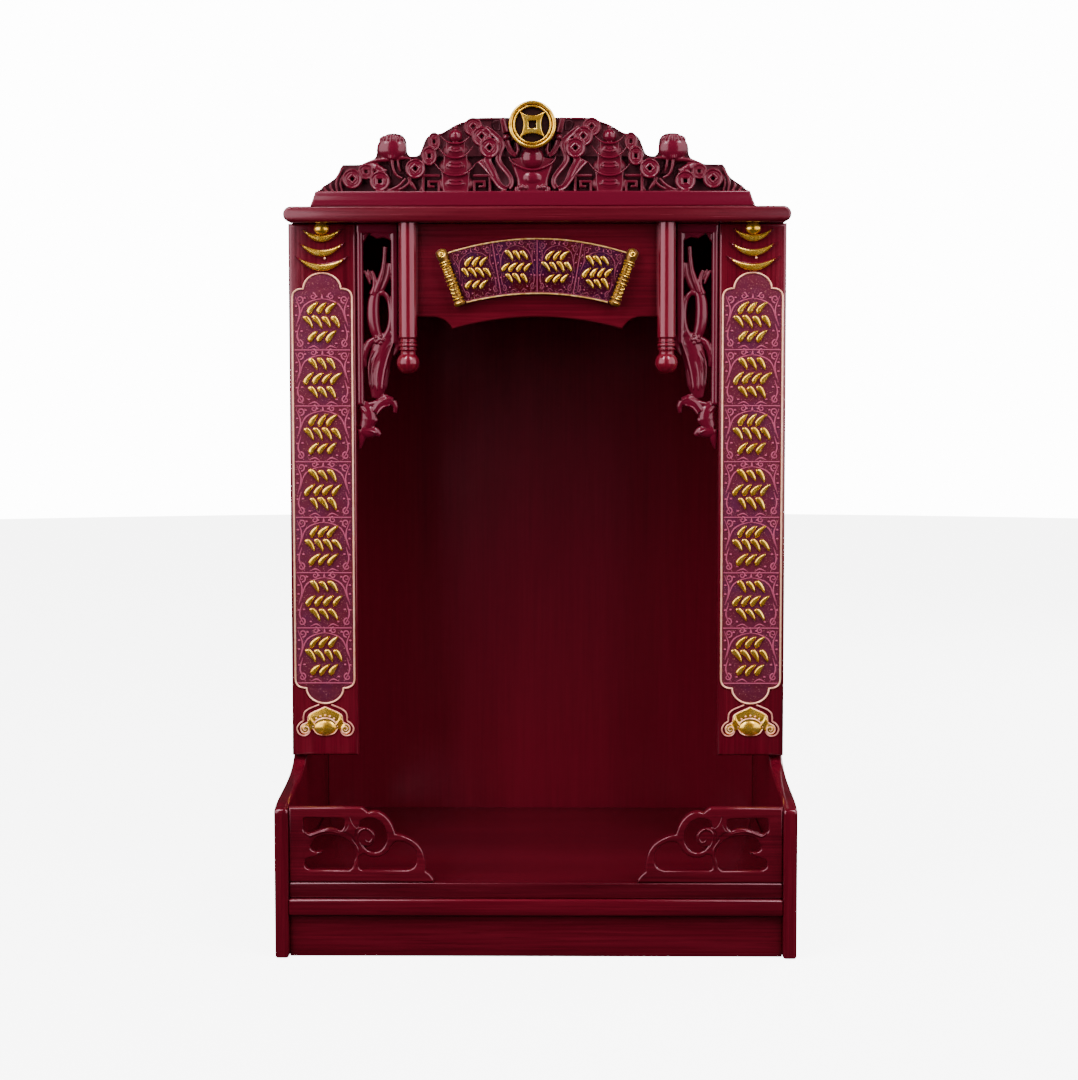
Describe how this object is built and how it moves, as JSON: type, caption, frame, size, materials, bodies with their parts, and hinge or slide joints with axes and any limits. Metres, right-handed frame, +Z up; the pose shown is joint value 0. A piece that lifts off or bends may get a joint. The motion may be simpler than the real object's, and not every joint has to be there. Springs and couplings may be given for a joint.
{
  "type": "household altar cabinet",
  "caption": "Open-fronted household altar cabinet in dark red lacquered wood, with a carved crest, gilded boards beside the opening and a low tray in front.",
  "frame": {"origin": "middle of the underside, halfway between the front and back edges of the side panels", "axes": "+Z up, +Y from the open front to the back panel, +X to the right of someone facing the front"},
  "size_m": [0.485, 0.38, 0.7947],
  "materials": {
    "rosewood_lacquer": "gloss",
    "dark_panel": "satin",
    "gilt": "gloss"
  },
  "bodies": {
    "root": {"side_panel_left": "rosewood_lacquer", "side_panel_right": "rosewood_lacquer", "back_panel": "dark_panel", "floor_board": "rosewood_lacquer", "ledge_strip": "rosewood_lacquer", "kick_board": "rosewood_lacquer", "couplet_board_left": "rosewood_lacquer", "couplet_board_right": "rosewood_lacquer", "header_board": "rosewood_lacquer", "scroll_plaque": "gilt", "hanging_post_left": "rosewood_lacquer", "hanging_post_right": "rosewood_lacquer", "side_fretwork_left": "rosewood_lacquer", "side_fretwork_right": "rosewood_lacquer", "top_board": "rosewood_lacquer", "crest_panel": "rosewood_lacquer", "crest_coin": "gilt", "base_fretwork_left": "rosewood_lacquer", "base_fretwork_right": "rosewood_lacquer"}
  },
  "joints": []
}
